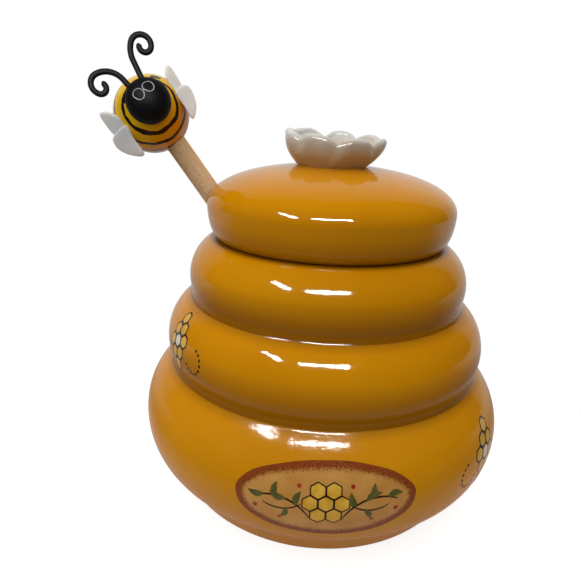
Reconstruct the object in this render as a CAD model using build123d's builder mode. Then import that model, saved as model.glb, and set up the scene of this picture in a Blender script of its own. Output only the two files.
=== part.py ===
"""Beehive honey pot: a bulged pot, a lift-off lid with a flower knob, and a bee-topped dipper.

Millimetres, +Z up. The origin is the centre of the foot's underside and -Y is the front.
The dipper stands in the pot and leaves it through a notch in the lid's left side (-X).
"""

import os
from math import cos, hypot, radians, sin, sqrt, tan

from build123d import *

os.makedirs("parts", exist_ok=True)

# ---------------------------------------------------------------------------
# Pot: three round bulges stacked like a straw hive, on a low foot
# ---------------------------------------------------------------------------
belly_radius = 57.5
belly_bulge = 21.0  # radius of the bulge's own arc
belly_height = 23.5  # widest level of the belly above the table
middle_radius = 50.0
middle_bulge = 14.8
middle_step = 24.5  # from the belly's widest level up to the middle bulge's
upper_radius = 43.0
upper_bulge = 13.2
upper_step = 19.0
groove_fillet = 1.5
foot_radius = 46.4
foot_height = 7.5
foot_edge = 1.2
foot_ring_width = 7.0
foot_recess = 1.2
pot_wall = 4.5
rim_step = 11.6  # from the upper bulge's widest level up to the lid's seat
rim_width = 3.6  # from the mouth out to the pot's side
rim_edge = 0.8
mouth_edge = 0.5

# ---------------------------------------------------------------------------
# Lid
# ---------------------------------------------------------------------------
lid_wall = 4.0
lid_seat_width = 1.4  # flat ring that rests on the pot's rim
lid_tuck_width = 3.7  # from the seat's edge out to the lid's widest point
lid_tuck_height = 9.8  # from the seat up to the lid's widest level
lid_dome_height = 12.5  # from the widest level up to the crown
lid_shoulder_fullness = 0.55
lid_crown_fullness = 0.65
flange_gap = 0.7  # between the flange and the mouth
flange_wall = 3.2
flange_depth = 4.5
flange_edge = 0.8
notch_gap = 0.9  # around the dipper's stick

# ---------------------------------------------------------------------------
# Flower knob, set into the crown a little askew
# ---------------------------------------------------------------------------
flower_forward_lean = 3.5  # degrees
flower_side_lean = 1.7  # degrees
flower_sink = 1.3  # of its base below the crown
flower_base_radius = 10.0
flower_base_height = 1.8
flower_radius = 14.4
flower_height = 10.6
flower_rim_wall = 2.4
flower_cup_floor = 4.6
petal_count = 7
petal_radius = 5.6
petal_dip_radius = 5.0
petal_dip = 1.6

# ---------------------------------------------------------------------------
# Dipper: one turned stick with a grooved head at its lower end
# ---------------------------------------------------------------------------
dipper_lean = 36.1  # degrees from upright, towards the notch
dipper_rest_gap = 0.3  # to the mouth's edge and to the floor of the pot
stick_radius = 3.15
disc_count = 7
disc_thickness = 3.0
disc_gap = 2.2
disc_edge = 1.2
disc_radius_ends = 8.0
disc_radius_middle = 11.0
head_core_radius = 5.0
bee_from_end = 129.2  # from the dipper's lower end to the bee's centre
stick_past_bee_centre = 3.0

# ---------------------------------------------------------------------------
# Bee: an egg-shaped body that faces sideways off the stick, with a ball head
# ---------------------------------------------------------------------------
bee_turn = 18.8  # degrees about the stick, from the front towards the right
bee_off_axis = 1.0  # of the body's centre to the left of the stick's axis
bee_length = 28.0
bee_width = 21.8
bore_gap = 0.05  # glue line around the stick
head_radius = 5.6
head_centre_front = 15.6  # in front of the body's centre
head_rise = 0.4  # above the body's centre
head_flat = 3.0  # behind the head's centre
wire_radius = 0.7
antenna_spread = 1.7
antenna_root = 4.0  # height of the buried wire end above the head's centre
left_heading = 82.5  # degrees from straight out to its own side
left_stem = 3.8
left_curl = [(5.3, 80.0), (2.7, 130.0), (1.45, 188.0)]  # arc radius, degrees turned
right_heading = 79.5
right_stem = 6.3
right_curl = [(6.9, 41.0), (2.55, 182.0), (1.5, 187.0)]
wing_thickness = 1.0
wing_sweep = 55.0  # degrees back from straight sideways
wing_root_front = 8.4
wing_root_drop = 0.5
wing_sink = 0.7
upper_wing_outline = [(-0.8, 0.2), (1.0, 4.2), (3.8, 7.5), (6.6, 8.1), (7.2, 5.2), (6.2, 1.2)]
lower_wing_outline = [(-0.8, 0.2), (3.4, 1.3), (7.0, 0.5), (6.6, -3.0), (3.8, -6.4), (-0.4, -8.2)]


def standing_on(plane):
    """A plane through the same origin and X whose Y runs along the given plane's normal."""
    return Plane(plane.origin, x_dir=plane.x_dir, z_dir=-plane.y_dir)


def ring_edges(part, radius, height):
    """The round edges of a turned part that have this radius and height."""
    return [
        edge
        for edge in part.edges().filter_by(GeomType.CIRCLE)
        if abs(edge.radius - radius) < 0.01 and abs(edge.arc_center.Z - height) < 0.01
    ]


def groove_between(lower, upper):
    """Outer crossing of two bulges' circles, as (radius, height)."""
    lower_radius, lower_bulge, lower_height = lower
    upper_radius, upper_bulge, upper_height = upper
    start_x = lower_radius - lower_bulge
    run = upper_radius - upper_bulge - start_x
    rise = upper_height - lower_height
    distance = hypot(run, rise)
    along = (distance**2 + lower_bulge**2 - upper_bulge**2) / (2 * distance)
    outward = sqrt(lower_bulge**2 - along**2)
    return (
        start_x + (along * run + outward * rise) / distance,
        lower_height + (along * rise - outward * run) / distance,
    )


def bulge_radius_at(bulge_entry, height):
    """Radius of one bulge's surface at a height."""
    radius, bulge, centre_height = bulge_entry
    return radius - bulge + sqrt(bulge**2 - (height - centre_height) ** 2)


def keep_right_half():
    """Trim a full-width section to the side that is turned about the Z axis."""
    Rectangle(4 * belly_radius, 8 * belly_radius, align=(Align.MIN, Align.CENTER), mode=Mode.INTERSECT)


# ---------------------------------------------------------------------------
# Places worked out from the sizes
# ---------------------------------------------------------------------------
middle_height = belly_height + middle_step
upper_height = middle_height + upper_step
rim_height = upper_height + rim_step
bulges = [
    (belly_radius, belly_bulge, belly_height),
    (middle_radius, middle_bulge, middle_height),
    (upper_radius, upper_bulge, upper_height),
]

rim_radius = bulge_radius_at(bulges[-1], rim_height)
mouth_radius = round(rim_radius - rim_width, 2)

lid_seat_radius = mouth_radius + lid_seat_width
lid_radius = lid_seat_radius + lid_tuck_width
lid_wide_height = rim_height + lid_tuck_height
lid_top = lid_wide_height + lid_dome_height
flange_radius = mouth_radius - flange_gap
flange_bore = flange_radius - flange_wall
vault_radius = lid_radius - lid_wall
vault_height = lid_dome_height - lid_wall

flower_plane = Plane.XY.offset(lid_top - flower_sink).rotated((flower_forward_lean, flower_side_lean, 0))

lean = radians(dipper_lean)
stick_direction = Vector(-sin(lean), 0, cos(lean))
stick_across = Vector(cos(lean), 0, sin(lean))
stick_reach_at_rim = mouth_radius - (stick_radius + dipper_rest_gap) / cos(lean)
lowest_corner = (disc_radius_ends - disc_edge) * sin(lean) + disc_edge * (1 - cos(lean))
dipper_end_height = pot_wall + dipper_rest_gap + lowest_corner
dipper_end = Vector(
    (rim_height - dipper_end_height) * tan(lean) - stick_reach_at_rim, 0, dipper_end_height
)
dipper_axis = Axis(dipper_end, stick_direction)
dipper_side = Plane(origin=dipper_end, x_dir=stick_across, z_dir=(0, -1, 0))
dipper_length = bee_from_end + stick_past_bee_centre
head_length = disc_count * disc_thickness + (disc_count - 1) * disc_gap

turn = radians(bee_turn)
bee_front = Vector(0, -1, 0) * cos(turn) + stick_across * sin(turn)
bee_right = stick_direction.cross(bee_front)
bee_centre = dipper_end + stick_direction * bee_from_end - bee_right * bee_off_axis
bee_plane = Plane(origin=bee_centre, x_dir=bee_right, z_dir=bee_front)
head_seat = head_centre_front - head_flat
head_plane = Plane(
    origin=bee_centre + bee_front * head_centre_front + stick_direction * head_rise,
    x_dir=bee_right,
    z_dir=bee_front,
)


# ---------------------------------------------------------------------------
# Pot
# ---------------------------------------------------------------------------
belly, middle, upper = bulges
foot_top = (bulge_radius_at(belly, foot_height), foot_height)
low_groove = groove_between(belly, middle)
high_groove = groove_between(middle, upper)
rim = (rim_radius, rim_height)

# full width, so that its offset is an even wall right up to the axis
with BuildSketch() as pot_block:
    with BuildLine():
        Polyline((0, 0), (foot_radius, 0), foot_top)
        ThreePointArc(foot_top, (belly_radius, belly_height), low_groove)
        ThreePointArc(low_groove, (middle_radius, middle_height), high_groove)
        ThreePointArc(high_groove, (upper_radius, upper_height), rim)
        Line(rim, (0, rim_height))
        mirror(about=Plane.YZ)
    make_face()

with BuildPart() as pot:
    with BuildSketch(Plane.XZ) as pot_section:
        add(pot_block.sketch)
        grooves = [
            corner
            for corner in pot_section.vertices()
            if foot_height - 1 < corner.Y < rim_height - 1 and abs(corner.X) > upper_bulge
        ]
        fillet(grooves, radius=groove_fillet)
        keep_right_half()
    revolve(axis=Axis.Z)
    with BuildSketch(Plane.XZ):
        add(pot_block.sketch)
        offset(amount=-pot_wall, mode=Mode.REPLACE)
        keep_right_half()
    revolve(axis=Axis.Z, mode=Mode.SUBTRACT)
    with BuildSketch(Plane.XY.offset(rim_height)):
        Circle(mouth_radius)
    extrude(amount=-2 * pot_wall, mode=Mode.SUBTRACT)
    with BuildSketch(Plane.XY):
        Circle(foot_radius - foot_ring_width)
    extrude(amount=foot_recess, mode=Mode.SUBTRACT)
    fillet(ring_edges(pot, foot_radius, 0), radius=foot_edge)
    fillet(ring_edges(pot, mouth_radius, rim_height), radius=mouth_edge)
    fillet(ring_edges(pot, rim_radius, rim_height), radius=rim_edge)
pot.part.label = "pot"
export_step(pot.part, "parts/pot.step")


# ---------------------------------------------------------------------------
# Flower knob: a cup cut into rounded petals
# ---------------------------------------------------------------------------
flower_axis = Axis(flower_plane.origin, flower_plane.z_dir)
petal_centre_radius = flower_radius - petal_radius
petal_step = 360 / petal_count

with BuildPart(flower_plane) as flower_knob:
    with BuildSketch(standing_on(flower_plane)):
        with BuildLine():
            base = Polyline((0, 0), (flower_base_radius, 0), (flower_base_radius, flower_base_height))
            flare = Bezier(
                base @ 1,
                (flower_radius - 1.0, flower_base_height + 1.5),
                (flower_radius, flower_height - 3.0),
                (flower_radius, flower_height),
            )
            lip = Line(flare @ 1, (flower_radius - flower_rim_wall, flower_height))
            cup = Bezier(
                lip @ 1,
                (flower_radius - flower_rim_wall - 1.5, flower_cup_floor),
                (flower_base_radius / 2, flower_cup_floor),
                (0, flower_cup_floor),
            )
            Line(cup @ 1, base @ 0)
        make_face()
    revolve(axis=flower_axis)
    with BuildSketch(flower_plane):
        Circle(petal_centre_radius)
        with PolarLocations(petal_centre_radius, petal_count, start_angle=-90 + petal_step / 2):
            Circle(petal_radius)
    extrude(amount=flower_height, mode=Mode.INTERSECT)
    with Locations((0, 0, flower_height + petal_dip_radius - petal_dip)):
        with PolarLocations(flower_radius, petal_count, start_angle=-90):
            Cylinder(petal_dip_radius, flower_radius, rotation=(0, 90, 0), mode=Mode.SUBTRACT)
flower_knob.part.label = "flower_knob"
export_step(flower_knob.part, "parts/flower_knob.step")


# ---------------------------------------------------------------------------
# Lid: a hollow dome with a locating flange and a slanted notch for the stick
# ---------------------------------------------------------------------------
with BuildPart() as lid:
    with BuildSketch(Plane.XZ):
        with BuildLine():
            seat = Line((0, rim_height), (lid_seat_radius, rim_height))
            tuck = EllipticalCenterArc(
                (lid_seat_radius, lid_wide_height),
                lid_radius - lid_seat_radius,
                lid_tuck_height,
                start_angle=-90,
                arc_size=90,
            )
            dome = Bezier(
                tuck @ 1,
                (lid_radius, lid_wide_height + lid_shoulder_fullness * lid_dome_height),
                (lid_crown_fullness * lid_radius, lid_top),
                (0, lid_top),
            )
            Line(dome @ 1, seat @ 0)
        make_face()
    revolve(axis=Axis.Z)
    with BuildSketch(Plane.XY.offset(rim_height)):
        Circle(flange_radius)
    extrude(amount=-flange_depth)
    # hollow: a straight bore through the flange, then a vault under the dome
    with BuildSketch(Plane.XZ):
        with BuildLine():
            bore = Polyline(
                (0, rim_height - flange_depth),
                (flange_bore, rim_height - flange_depth),
                (flange_bore, rim_height + lid_wall),
                (vault_radius, lid_wide_height),
            )
            vault = Bezier(
                bore @ 1,
                (vault_radius, lid_wide_height + lid_shoulder_fullness * vault_height),
                (lid_crown_fullness * vault_radius, lid_wide_height + vault_height),
                (0, lid_wide_height + vault_height),
            )
            Line(vault @ 1, bore @ 0)
        make_face()
    revolve(axis=Axis.Z, mode=Mode.SUBTRACT)
    fillet(ring_edges(lid, flange_radius, rim_height - flange_depth), radius=flange_edge)
    fillet(ring_edges(lid, flange_bore, rim_height - flange_depth), radius=flange_edge)
    # a slot along the stick, open outwards, so that the lid lifts past the dipper
    notch_radius = stick_radius + notch_gap
    with BuildSketch(Plane(origin=(-stick_reach_at_rim, 0, rim_height), x_dir=stick_across, z_dir=stick_direction)):
        Circle(notch_radius)
        Rectangle(lid_radius, 2 * notch_radius, align=(Align.MAX, Align.CENTER))
    extrude(amount=lid_radius, both=True, mode=Mode.SUBTRACT)
    with BuildSketch(flower_plane):
        Circle(flower_base_radius)
    extrude(amount=flower_base_height, mode=Mode.SUBTRACT)
lid.part.label = "lid"
export_step(lid.part, "parts/lid.step")


# ---------------------------------------------------------------------------
# Dipper: stick and grooved head, turned from one piece
# ---------------------------------------------------------------------------
with BuildPart() as dipper:
    with BuildSketch(dipper_side):
        Rectangle(2 * stick_radius, dipper_length, align=(Align.CENTER, Align.MIN))
        Rectangle(2 * head_core_radius, head_length, align=(Align.CENTER, Align.MIN))
        for disc in range(disc_count):
            swell = sin(radians(180 * disc / (disc_count - 1)))
            disc_radius = disc_radius_ends + (disc_radius_middle - disc_radius_ends) * swell
            with Locations((0, disc_thickness / 2 + disc * (disc_thickness + disc_gap))):
                RectangleRounded(2 * disc_radius, disc_thickness, disc_edge)
        keep_right_half()
    revolve(axis=dipper_axis)
dipper.part.label = "dipper"
export_step(dipper.part, "parts/dipper.step")


# ---------------------------------------------------------------------------
# Bee's wings: two flat petals a side, glued into shallow slots in the body
# ---------------------------------------------------------------------------
wing_root_side = bee_width / 2 * sqrt(1 - (2 * wing_root_front / bee_length) ** 2) - wing_sink
sweep_back = radians(wing_sweep)


def wing_plane(side):
    """Plane of one side's wings, facing out of the body; side is -1 for left, 1 for right."""
    outward = bee_right * side
    root = bee_centre + outward * wing_root_side + bee_front * wing_root_front
    return Plane(
        origin=root - stick_direction * wing_root_drop,
        x_dir=outward * cos(sweep_back) - bee_front * sin(sweep_back),
        z_dir=outward * sin(sweep_back) + bee_front * cos(sweep_back),
    )


wings = []
for side, side_name in ((-1, "left"), (1, "right")):
    for outline, level, level_name in ((upper_wing_outline, -1, "upper"), (lower_wing_outline, 1, "lower")):
        with BuildPart() as wing:
            with BuildSketch(wing_plane(side)):
                with BuildLine():
                    Spline([(back, side * up) for back, up in outline], periodic=True)
                make_face()
            extrude(amount=level * wing_thickness)
        wing.part.label = f"wing_{level_name}_{side_name}"
        export_step(wing.part, f"parts/{wing.part.label}.step")
        wings.append(wing)


# ---------------------------------------------------------------------------
# Bee's antennae: bent wires that end in a curl
# ---------------------------------------------------------------------------
antennae = []
antenna_routes = [
    (-1, "left", 180 - left_heading, left_stem, left_curl),
    (1, "right", right_heading, right_stem, right_curl),
]
for side, side_name, heading, stem, curl in antenna_routes:
    with BuildPart() as antenna:
        with BuildLine(head_plane) as route:
            foot = (side * antenna_spread, antenna_root)
            wire = PolarLine(foot, stem, heading)
            for curl_radius, turned in curl:
                wire = JernArc(wire @ 1, wire % 1, curl_radius, -side * turned)
        with BuildSketch(Plane(origin=route.line @ 0, z_dir=route.line % 0)):
            Circle(wire_radius)
        sweep(path=route.line)
    antenna.part.label = f"antenna_{side_name}"
    export_step(antenna.part, f"parts/{antenna.part.label}.step")
    antennae.append(antenna)


# ---------------------------------------------------------------------------
# Bee's head: a ball with a flat for the body and a socket for each antenna
# ---------------------------------------------------------------------------
with BuildPart() as bee_head:
    with Locations(head_plane):
        Sphere(head_radius)
    with Locations(head_plane.offset(-head_flat)):
        Cylinder(
            head_radius, head_radius, align=(Align.CENTER, Align.CENTER, Align.MAX), mode=Mode.SUBTRACT
        )
    for antenna in antennae:
        add(antenna.part, mode=Mode.SUBTRACT)
bee_head.part.label = "bee_head"
export_step(bee_head.part, "parts/bee_head.step")


# ---------------------------------------------------------------------------
# Bee's body: an egg bored for the stick, with a flat for the head
# ---------------------------------------------------------------------------
with BuildPart() as bee_body:
    with BuildSketch(Plane(origin=bee_centre, x_dir=bee_front, z_dir=bee_right)):
        with BuildLine():
            egg = EllipticalCenterArc((0, 0), bee_length / 2, bee_width / 2, arc_size=180)
            Line(egg @ 1, egg @ 0)
        make_face()
    revolve(axis=Axis(bee_centre, bee_front))
    with Locations(bee_plane.offset(head_seat)):
        Cylinder(
            bee_width / 2, bee_length, align=(Align.CENTER, Align.CENTER, Align.MIN), mode=Mode.SUBTRACT
        )
    with BuildSketch(Plane(origin=dipper_end + stick_direction * dipper_length, z_dir=-stick_direction)):
        Circle(stick_radius + bore_gap)
    extrude(amount=bee_width, mode=Mode.SUBTRACT)
    for wing in wings:
        add(wing.part, mode=Mode.SUBTRACT)
bee_body.part.label = "bee_body"
export_step(bee_body.part, "parts/bee_body.step")
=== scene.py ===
"""Beehive honey pot with a flower-knobbed lid and a bee-topped dipper, glazed, painted and lit.

Metres, +Z up, -Y is the front. The object's sizes are in millimetres and are scaled once, by MM.
"""

from math import atan2, cos, hypot, pi, radians, sin, sqrt

import bmesh
import bpy
import numpy as np
from mathutils import Matrix, Vector
from mathutils import noise as mathutils_noise
from mathutils.bvhtree import BVHTree


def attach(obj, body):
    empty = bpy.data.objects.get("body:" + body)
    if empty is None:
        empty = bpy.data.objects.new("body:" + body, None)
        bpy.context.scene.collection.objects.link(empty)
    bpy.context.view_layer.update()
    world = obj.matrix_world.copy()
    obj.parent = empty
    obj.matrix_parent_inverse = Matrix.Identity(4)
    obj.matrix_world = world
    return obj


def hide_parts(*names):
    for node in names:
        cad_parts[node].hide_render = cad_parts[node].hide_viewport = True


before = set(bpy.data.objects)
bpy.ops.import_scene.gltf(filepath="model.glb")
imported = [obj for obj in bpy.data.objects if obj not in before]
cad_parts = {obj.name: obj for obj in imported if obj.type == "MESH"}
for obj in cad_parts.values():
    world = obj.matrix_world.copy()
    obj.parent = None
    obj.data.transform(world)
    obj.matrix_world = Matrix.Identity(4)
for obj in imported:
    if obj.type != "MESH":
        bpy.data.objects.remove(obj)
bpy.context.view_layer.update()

MM = 0.001


# ---------------------------------------------------------------------------
# Sizes that the solids share, in millimetres
# ---------------------------------------------------------------------------
# bulges of the pot: widest radius, radius of the bulge's arc, level of the arc's centre
BELLY = (57.5, 21.0, 23.5)
MIDDLE = (50.0, 14.8, 48.0)
UPPER = (43.0, 13.2, 67.0)
GROOVE_FILLET = 2.4
POT_WALL = 4.5
RIM_HEIGHT = 78.6
RIM_RADIUS = UPPER[0] - UPPER[1] + sqrt(UPPER[1] ** 2 - (RIM_HEIGHT - UPPER[2]) ** 2)
MOUTH_RADIUS = RIM_RADIUS - 3.6
FOOT_RADIUS = 46.4
FOOT_HEIGHT = 7.5
FOOT_RING = 7.0
FOOT_RECESS = 1.2

LID_WALL = 4.0
LID_SEAT = MOUTH_RADIUS + 1.4
LID_RADIUS = LID_SEAT + 3.7
LID_WIDE_HEIGHT = RIM_HEIGHT + 9.8
LID_TOP = LID_WIDE_HEIGHT + 12.5
FLANGE_RADIUS = MOUTH_RADIUS - 0.7
FLANGE_BORE = FLANGE_RADIUS - 3.2
FLANGE_DEPTH = 4.5
NOTCH_GAP = 0.9

STICK_RADIUS = 3.15
STICK_LEAN = radians(36.1)  # from upright, to the left
STICK_UP = Vector((-sin(STICK_LEAN), 0.0, cos(STICK_LEAN)))
STICK_ACROSS = Vector((cos(STICK_LEAN), 0.0, sin(STICK_LEAN)))
DIPPER_END = Vector((22.497, 0.0, 9.037))
BEE_ALONG_STICK = 129.2
DIPPER_LENGTH = BEE_ALONG_STICK + 3.0

DISC_COUNT = 7
DISC_THICKNESS = 3.0
DISC_GAP = 2.2
DISC_EDGE = 1.2
DISC_RADIUS_ENDS = 8.0
DISC_SWELL = 3.0  # by which the middle disc is wider than the end ones
CORE_RADIUS = 5.0

BEE_TURN = radians(18.8)  # about the stick, from the front to the right
BEE_FRONT = Vector((0.0, -cos(BEE_TURN), 0.0)) + STICK_ACROSS * sin(BEE_TURN)
BEE_RIGHT = STICK_UP.cross(BEE_FRONT)
BEE_OFF_AXIS = 1.0
BEE_CENTRE = DIPPER_END + STICK_UP * BEE_ALONG_STICK - BEE_RIGHT * BEE_OFF_AXIS
BEE_RADIUS = 10.9
BEE_HALF_LENGTH = 14.0
BEE_FLAT = 12.6  # forward of its centre, where the head is glued on
HEAD_CENTRE = BEE_CENTRE + BEE_FRONT * 15.6 + STICK_UP * 0.4
HEAD_RADIUS = 5.95

WING_ROOT = 8.4  # forward of the bee's centre
WING_SWEEP = radians(55)
WING_THICKNESS = 1.0

FLOWER_SINK = 1.3  # into the lid's crown
FLOWER_BASE = 9.0
FLOWER_REACH = 14.7
FLOWER_HEIGHT = 10.6
FLOWER_FLOOR = 4.6
FLOWER_LIP = 1.25  # radius of its rounded rim, half its wall


# ---------------------------------------------------------------------------
# Node helpers
# ---------------------------------------------------------------------------
def paint(red, green, blue):
    """A colour from 0-255 display values, as shader sockets take it."""
    channels = [c / 255 for c in (red, green, blue)]
    return (*[c / 12.92 if c <= 0.04045 else ((c + 0.055) / 1.055) ** 2.4 for c in channels], 1.0)


def node(tree, kind, inputs=None, **settings):
    """Add a node; inputs are sockets to link or plain values."""
    made = tree.nodes.new(kind)
    for name, value in settings.items():
        setattr(made, name, value)
    for key, value in (inputs or {}).items():
        if isinstance(value, bpy.types.NodeSocket):
            tree.links.new(value, made.inputs[key])
        else:
            made.inputs[key].default_value = value
    return made


def calc(tree, operation, *values, clamp=False):
    """One Math node; returns its output."""
    made = node(tree, "ShaderNodeMath", dict(enumerate(values)), operation=operation, use_clamp=clamp)
    return made.outputs[0]


def vector_calc(tree, operation, *values, output=0):
    """One Vector Math node; returns its output."""
    made = node(tree, "ShaderNodeVectorMath", dict(enumerate(values)), operation=operation)
    return made.outputs[output]


def rise(tree, value, start, span):
    """0 up to a start, then evenly up to 1 over a span."""
    return calc(tree, "DIVIDE", calc(tree, "SUBTRACT", value, start), span, clamp=True)


def nearness(tree, value, middle, reach):
    """1 at a middle value, falling evenly to 0 at a reach to either side."""
    offset = calc(tree, "ABSOLUTE", calc(tree, "SUBTRACT", value, middle))
    return calc(tree, "SUBTRACT", 1.0, calc(tree, "DIVIDE", offset, reach), clamp=True)


def ramp(tree, factor, stops):
    """Colour ramp through (position, colour) stops."""
    made = node(tree, "ShaderNodeValToRGB", {"Fac": factor})
    band = made.color_ramp
    while len(band.elements) < len(stops):
        band.elements.new(0.5)
    for element, (position, colour) in zip(band.elements, stops):
        element.position = position
        element.color = colour
    return made.outputs["Color"]


def mix_colour(tree, factor, first, second):
    """Blend two colours."""
    made = node(tree, "ShaderNodeMix", data_type="RGBA")
    for socket, value in (("Factor", factor), ("A", first), ("B", second)):
        target = next(s for s in made.inputs if s.enabled and s.name == socket)
        if isinstance(value, bpy.types.NodeSocket):
            tree.links.new(value, target)
        else:
            target.default_value = value
    return next(s for s in made.outputs if s.enabled)


def noise(tree, place, scale, detail=3.0, roughness=0.5, distortion=0.0):
    """Noise factor from 0 to 1."""
    inputs = {
        "Vector": place,
        "Scale": scale,
        "Detail": detail,
        "Roughness": roughness,
        "Distortion": distortion,
    }
    return node(tree, "ShaderNodeTexNoise", inputs).outputs[0]


def finish_material(name):
    """A new material: itself, its tree, its surface shader and its object coordinates."""
    material = bpy.data.materials.new(name)
    material.use_nodes = True
    tree = material.node_tree
    tree.nodes.clear()
    shader = node(tree, "ShaderNodeBsdfPrincipled")
    node(tree, "ShaderNodeOutputMaterial", {"Surface": shader.outputs[0]})
    place = node(tree, "ShaderNodeTexCoord").outputs["Object"]
    return material, tree, shader, place


def coat(tree, shader, colour, roughness, shine):
    """Give a finish its colour, its roughness and how strongly it mirrors."""
    tree.links.new(colour, shader.inputs["Base Color"])
    tree.links.new(roughness, shader.inputs["Roughness"])
    shader.inputs["Specular IOR Level"].default_value = shine


def bump(tree, shader, height, distance):
    """Raise the surface by a height from 0 to 1 times a distance in metres."""
    made = node(tree, "ShaderNodeBump", {"Height": height, "Distance": distance, "Strength": 1.0})
    tree.links.new(made.outputs[0], shader.inputs["Normal"])


# ---------------------------------------------------------------------------
# Finishes
# ---------------------------------------------------------------------------
# darker glaze in the grooves, at the foot and in the gap under the lid, partly glaze pooling and partly
# painted shade, all painted shade in the gap: level, reach to either side, depth of colour
GLAZE_POOLS_AND_SHADE = ((40.4, 2.0, 0.35), (60.8, 2.0, 0.35), (78.7, 0.9, 0.8), (7.5, 1.5, 0.12))

# darker glaze reaching up from each groove and from the rim over the lower, downward-facing half of each
# bulge and of the lid, partly thicker glaze and partly painted shade: level, reach upwards, depth of colour
GLAZE_RUNS_AND_SHADE = ((40.4, 12.0, 0.6), (60.8, 10.5, 0.64), (78.6, 7.0, 0.35))


def amber_glaze():
    """Honey-coloured glaze with an orange-peel gloss, darker where it pools and runs, with painted shade in
    its grooves, under its bulges and in the gap under the lid.
    """
    material, tree, shader, place = finish_material("honey_amber_glaze")
    level = node(tree, "ShaderNodeSeparateXYZ", {0: place}).outputs["Z"]
    cloud = noise(tree, place, 26.0, 4.0)
    colour = ramp(
        tree, cloud, [(0.25, paint(204, 132, 2)), (0.55, paint(211, 139, 3)), (0.8, paint(217, 146, 6))]
    )
    # painted shade on the undersides of the bulges and the lid, darkest just above each groove, in part
    # thicker glaze too
    for run_and_shade_level, reach, depth in GLAZE_RUNS_AND_SHADE:
        above = calc(tree, "SUBTRACT", level, run_and_shade_level * MM)
        share = calc(tree, "SUBTRACT", 1.0, calc(tree, "DIVIDE", above, reach * MM), clamp=True)
        share = calc(tree, "POWER", share, 0.75)
        share = calc(tree, "MULTIPLY", share, calc(tree, "GREATER_THAN", above, 0.0))
        share = calc(tree, "MULTIPLY", share, calc(tree, "MULTIPLY_ADD", cloud, 0.5 * depth, 0.75 * depth))
        colour = mix_colour(tree, share, colour, paint(108, 58, 0))
    pooled_and_shaded = 0.0
    # painted shade in the grooves and in the gap under the lid, together with darker glaze where it collects
    for pool_and_shade_level, reach, depth in GLAZE_POOLS_AND_SHADE:
        share = nearness(tree, level, pool_and_shade_level * MM, reach * MM)
        share = calc(tree, "MULTIPLY", calc(tree, "POWER", share, 1.3), depth)
        colour = mix_colour(tree, share, colour, paint(74, 32, 0))
        pooled_and_shaded = calc(tree, "MAXIMUM", pooled_and_shaded, share)
    specks = node(tree, "ShaderNodeTexVoronoi", {"Vector": place, "Scale": 210.0}).outputs["Distance"]
    rare = calc(tree, "GREATER_THAN", noise(tree, place, 95.0, 1.0), 0.66)
    speck = calc(tree, "MULTIPLY", calc(tree, "LESS_THAN", specks, 0.07), rare)
    colour = mix_colour(tree, calc(tree, "MULTIPLY", speck, 0.55), colour, paint(96, 52, 6))
    # the ring that the pot stands on is wiped bare
    bare = calc(tree, "LESS_THAN", calc(tree, "MULTIPLY_ADD", cloud, -0.6 * MM, level), 0.15 * MM)
    colour = mix_colour(tree, bare, colour, paint(214, 200, 178))
    shoulder = nearness(tree, level, 34.0 * MM, 12.0 * MM)
    gloss = calc(tree, "MULTIPLY_ADD", noise(tree, place, 60.0, 3.0), 0.08, 0.03)
    for place_share, dulling in ((shoulder, 0.08), (pooled_and_shaded, 0.15), (bare, 0.6)):
        gloss = calc(tree, "MULTIPLY_ADD", place_share, dulling, gloss)
    coat(tree, shader, colour, gloss, 0.25)
    peel = noise(tree, place, 620.0, 2.0)
    swell = noise(tree, place, 75.0, 2.0)
    lines = noise(tree, vector_calc(tree, "MULTIPLY", place, (1.0, 1.0, 14.0)), 55.0, 3.0)
    height = calc(tree, "MULTIPLY", peel, calc(tree, "MULTIPLY_ADD", shoulder, 1.6, 0.8))
    for relief, depth in ((swell, 3.2), (lines, 0.9), (speck, -0.6)):
        height = calc(tree, "MULTIPLY_ADD", relief, depth, height)
    bump(tree, shader, height, 0.03 * MM)
    return material


def white_glaze():
    """Warm white glaze, turning darker and tan lower down."""
    material, tree, shader, place = finish_material("flower_white_glaze")
    level = node(tree, "ShaderNodeSeparateXYZ", {0: place}).outputs["Z"]
    cloud = noise(tree, place, 150.0, 4.0)
    level = calc(tree, "MULTIPLY_ADD", cloud, 3.6 * MM, level)
    stops = [
        (0.0, paint(184, 148, 88)),
        (0.35, paint(178, 149, 108)),
        (0.7, paint(200, 187, 168)),
        (0.95, paint(223, 223, 216)),
    ]
    colour = ramp(tree, rise(tree, level, 101.5 * MM, 10.5 * MM), stops)
    coat(tree, shader, colour, calc(tree, "MULTIPLY_ADD", cloud, 0.16, 0.16), 0.4)
    height = calc(tree, "MULTIPLY_ADD", noise(tree, place, 260.0, 2.0), 2.0, cloud)
    bump(tree, shader, height, 0.07 * MM)
    return material


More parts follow.
